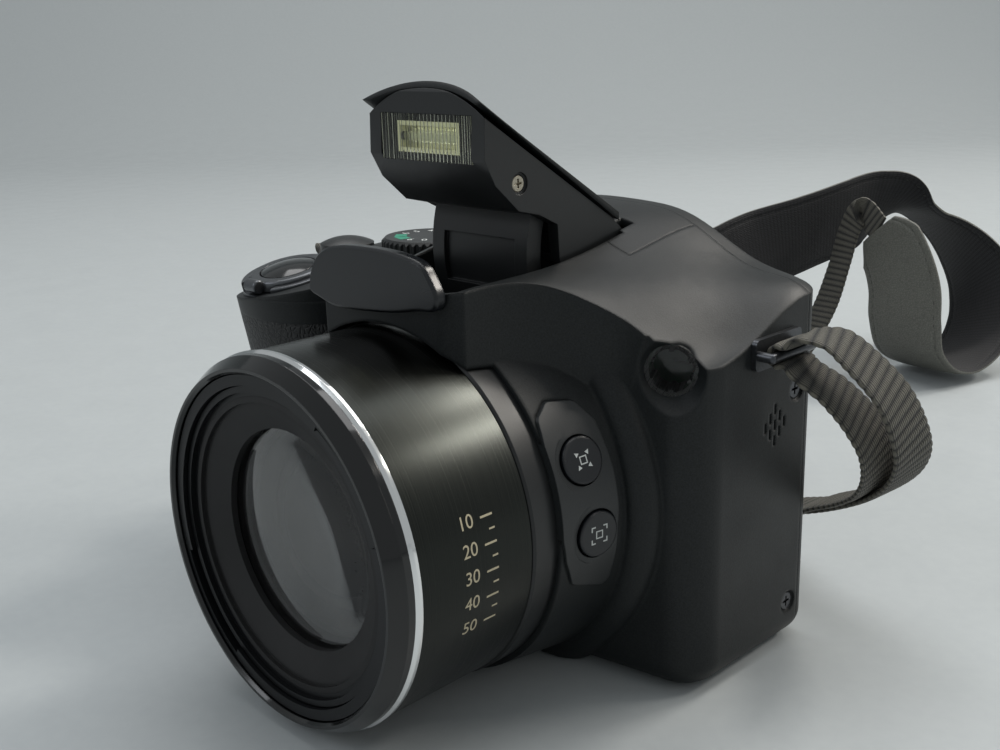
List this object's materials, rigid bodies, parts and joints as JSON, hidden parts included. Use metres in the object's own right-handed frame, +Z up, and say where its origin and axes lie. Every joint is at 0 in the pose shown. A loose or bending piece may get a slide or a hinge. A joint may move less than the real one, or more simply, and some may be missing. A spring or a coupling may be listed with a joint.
{
  "type": "bridge camera",
  "caption": "Compact bridge camera with a fixed telescoping zoom lens, a raised pop-up flash, a moulded grip, back controls and a padded neck strap.",
  "frame": {"origin": "centre of the tripod socket's mouth in the base", "axes": "+Z up, lens looking along -Y, +X towards the camera's own left-hand side"},
  "size_m": [0.1595, 0.3193, 0.1075],
  "materials": {
    "shell_black": "fine speckled texture",
    "shell_smooth": "smooth satin",
    "grip_rubber": "leather grain",
    "sleeve_metal": "turned black gloss",
    "chrome": "polished",
    "gloss_black": "gloss",
    "inner_black": "dull",
    "coated_glass": "coated",
    "clear_plastic": "clear",
    "flash_lens": "ribbed",
    "bright_foil": "mirror",
    "satin_metal": "satin",
    "steel": "plain",
    "screen_glass": "gloss",
    "screen_back": "plain",
    "board_green": "solder mask",
    "alloy": "cast",
    "cell_wrap": "wrap",
    "card_blue": "plain",
    "brass": "turned",
    "webbing": "woven ribs",
    "pad_leather": "stitched"
  },
  "bodies": {
    "camera_body": {"front_cover": "shell_black", "rear_cover": "shell_black", "top_cover": "shell_black", "grip_skin": "grip_rubber", "nose_plate": "shell_smooth", "lens_sleeve": "sleeve_metal", "rear_ring": "shell_smooth", "chrome_ring": "chrome", "bezel_ring": "gloss_black", "lens_frame": "alloy", "rear_cell": "inner_black", "sensor_board": "board_green", "assist_panel": "shell_smooth", "lamp_window": "clear_plastic", "flash_hinge_pin": "steel", "shutter_base": "satin_metal", "lcd_window": "screen_glass", "lcd_panel": "screen_back", "thumb_rest": "grip_rubber", "cable_sockets": "inner_black", "chassis": "alloy", "main_board": "board_green", "battery_bay": "inner_black", "battery": "cell_wrap", "memory_card": "card_blue", "tripod_socket": "brass", "case_screws": "steel", "strap_lugs": "steel", "strap_left": "webbing", "strap_right": "webbing", "strap_adjusters": "gloss_black", "neck_pad": "pad_leather"},
    "outer_barrel": {"zoom_barrel_outer": "inner_black"},
    "inner_barrel": {"zoom_barrel_inner": "inner_black", "name_ring": "inner_black", "front_glass": "coated_glass", "lens_cell": "inner_black"},
    "flash_head": {"flash_housing": "shell_smooth", "flash_cover": "shell_black", "flash_window": "flash_lens", "flash_reflector": "bright_foil", "flash_tube": "clear_plastic", "flash_screws": "steel"},
    "zoom_ring": {"zoom_lever": "satin_metal"},
    "shutter": {"shutter_button": "gloss_black"},
    "power": {"power_button": "shell_smooth"},
    "dial": {"mode_dial": "satin_metal"},
    "assist_upper": {"assist_button_upper": "shell_smooth"},
    "assist_lower": {"assist_button_lower": "shell_smooth"},
    "key_movie": {"movie_key": "shell_smooth"},
    "key_playback": {"playback_key": "shell_smooth"},
    "key_wireless": {"wireless_key": "shell_smooth"},
    "key_display": {"display_key": "shell_smooth"},
    "key_menu": {"menu_key": "shell_smooth"},
    "pad_rocker": {"pad_carrier": "shell_smooth"},
    "four_way_pad": {"direction_pad": "shell_smooth"},
    "key_set": {"set_button": "shell_smooth"},
    "bay_door": {"battery_door": "shell_smooth"},
    "bay_latch": {"door_latch": "shell_smooth"},
    "side_flap": {"terminal_cover": "grip_rubber"}
  },
  "joints": [
    {"name": "zoom_outer", "type": "slide", "parent": "camera_body", "child": "outer_barrel", "axis": [0, -1, 0], "range_m": [0, 0.028]},
    {"name": "zoom_inner", "type": "slide", "parent": "outer_barrel", "child": "inner_barrel", "axis": [0, -1, 0], "range_m": [0, 0.026]},
    {"name": "flash_lift", "type": "hinge", "parent": "camera_body", "child": "flash_head", "pos_m": [0, 0.0075, 0.0758], "axis": [1, 0, 0], "range_deg": [0, 34.5]},
    {"name": "zoom_ring_turn", "type": "hinge", "parent": "camera_body", "child": "zoom_ring", "pos_m": [-0.0577, -0.021, 0.0646], "axis": [0, -0.2079, 0.9781], "range_deg": [-12, 12], "stiffness_Nm_per_rad": 0.02},
    {"name": "shutter_press", "type": "slide", "parent": "camera_body", "child": "shutter", "axis": [0, 0.2079, -0.9781], "range_m": [0, 0.001], "stiffness_N_per_m": 300},
    {"name": "power_press", "type": "slide", "parent": "camera_body", "child": "power", "axis": [0, 0, -1], "range_m": [0, 0.0006], "stiffness_N_per_m": 300},
    {"name": "dial_turn", "type": "hinge", "parent": "camera_body", "child": "dial", "pos_m": [-0.0395, 0.0035, 0.07], "axis": [0, 0, 1], "continuous": true},
    {"name": "assist_upper_press", "type": "slide", "parent": "camera_body", "child": "assist_upper", "axis": [-0.9239, 0.1564, -0.3491], "range_m": [0, 0.0005], "stiffness_N_per_m": 300},
    {"name": "assist_lower_press", "type": "slide", "parent": "camera_body", "child": "assist_lower", "axis": [-0.9876, 0.1564, 0.0138], "range_m": [0, 0.0005], "stiffness_N_per_m": 300},
    {"name": "movie_press", "type": "slide", "parent": "camera_body", "child": "key_movie", "axis": [0, -1, 0], "range_m": [0, 0.0004], "stiffness_N_per_m": 300},
    {"name": "playback_press", "type": "slide", "parent": "camera_body", "child": "key_playback", "axis": [0, -1, 0], "range_m": [0, 0.0004], "stiffness_N_per_m": 300},
    {"name": "wireless_press", "type": "slide", "parent": "camera_body", "child": "key_wireless", "axis": [0, -1, 0], "range_m": [0, 0.0004], "stiffness_N_per_m": 300},
    {"name": "display_press", "type": "slide", "parent": "camera_body", "child": "key_display", "axis": [0, -1, 0], "range_m": [0, 0.0004], "stiffness_N_per_m": 300},
    {"name": "menu_press", "type": "slide", "parent": "camera_body", "child": "key_menu", "axis": [0, -1, 0], "range_m": [0, 0.0004], "stiffness_N_per_m": 300},
    {"name": "pad_up_down", "type": "hinge", "parent": "camera_body", "child": "pad_rocker", "pos_m": [-0.051, 0.0208, 0.0245], "axis": [1, 0, 0], "range_deg": [-2, 2], "stiffness_Nm_per_rad": 0.03},
    {"name": "pad_left_right", "type": "hinge", "parent": "pad_rocker", "child": "four_way_pad", "pos_m": [-0.051, 0.0208, 0.0245], "axis": [0, 0, 1], "range_deg": [-2, 2], "stiffness_Nm_per_rad": 0.03},
    {"name": "set_press", "type": "slide", "parent": "camera_body", "child": "key_set", "axis": [0, -1, 0], "range_m": [0, 0.0004], "stiffness_N_per_m": 300},
    {"name": "door_swing", "type": "hinge", "parent": "camera_body", "child": "bay_door", "pos_m": [-0.0444, -0.0044, 0.0008], "axis": [0, -1, 0], "range_deg": [0, 95]},
    {"name": "latch_slide", "type": "slide", "parent": "bay_door", "child": "bay_latch", "axis": [0, 1, 0], "range_m": [0, 0.002]},
    {"name": "flap_swing", "type": "hinge", "parent": "camera_body", "child": "side_flap", "pos_m": [-0.0725, 0.015, 0.0345], "axis": [0, 0, -1], "range_deg": [0, 100]}
  ],
  "couplings": [
    {"joint": "zoom_inner", "follows": "zoom_outer", "ratio": 0.92857}
  ]
}
